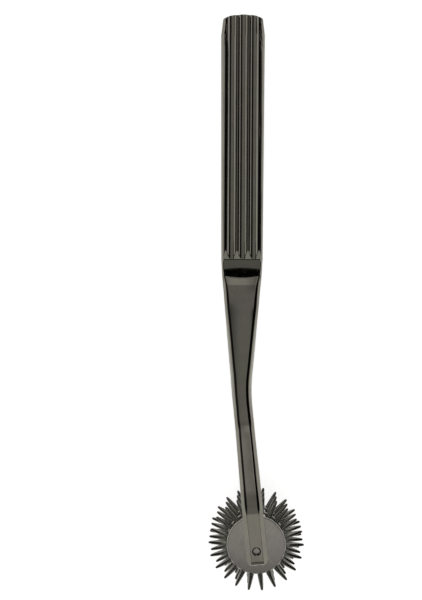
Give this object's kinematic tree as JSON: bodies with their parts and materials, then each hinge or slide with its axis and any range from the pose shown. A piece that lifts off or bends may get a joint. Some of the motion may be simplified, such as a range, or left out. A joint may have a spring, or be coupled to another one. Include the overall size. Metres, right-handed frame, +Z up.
{
  "type": "neurological pinwheel",
  "caption": "Hand-held neurological pinwheel: a ribbed bar handle with a scooped waist and a forked end that carries spiked wheels on one axle.",
  "frame": {"origin": "on the table under the middle of the instrument as it lies on the end of its grip and the lower arm of its fork", "axes": "+X runs from the end of the grip to the wheels, +Z is up, and the broad side of the grip faces up, tilted a few degrees"},
  "size_m": [0.19, 0.0316, 0.0283],
  "materials": {
    "handle_plate": "polished dark nickel plate",
    "hub_plate": "polished dark nickel plate",
    "pin_plate": "polished dark nickel plate",
    "axle_steel": "polished dark nickel plate"
  },
  "bodies": {
    "frame": {"handle": "handle_plate", "axle": "axle_steel", "spacer_near_to_middle": "axle_steel", "spacer_middle_to_far": "axle_steel", "end_spacer_near": "axle_steel", "end_spacer_far": "axle_steel"},
    "near_wheel": {"hub_near": "hub_plate", "pins_near": "pin_plate"},
    "middle_wheel": {"hub_middle": "hub_plate", "pins_middle": "pin_plate"},
    "far_wheel": {"hub_far": "hub_plate", "pins_far": "pin_plate"}
  },
  "joints": [
    {"name": "near_wheel_spin", "type": "hinge", "parent": "frame", "child": "near_wheel", "pos_m": [0.0786, 0, 0.02012], "axis": [-0.0654, 0, 0.9979], "continuous": true},
    {"name": "middle_wheel_spin", "type": "hinge", "parent": "frame", "child": "middle_wheel", "pos_m": [0.07897, 0, 0.01443], "axis": [-0.0654, 0, 0.9979], "continuous": true},
    {"name": "far_wheel_spin", "type": "hinge", "parent": "frame", "child": "far_wheel", "pos_m": [0.07934, 0, 0.00874], "axis": [-0.0654, 0, 0.9979], "continuous": true}
  ]
}
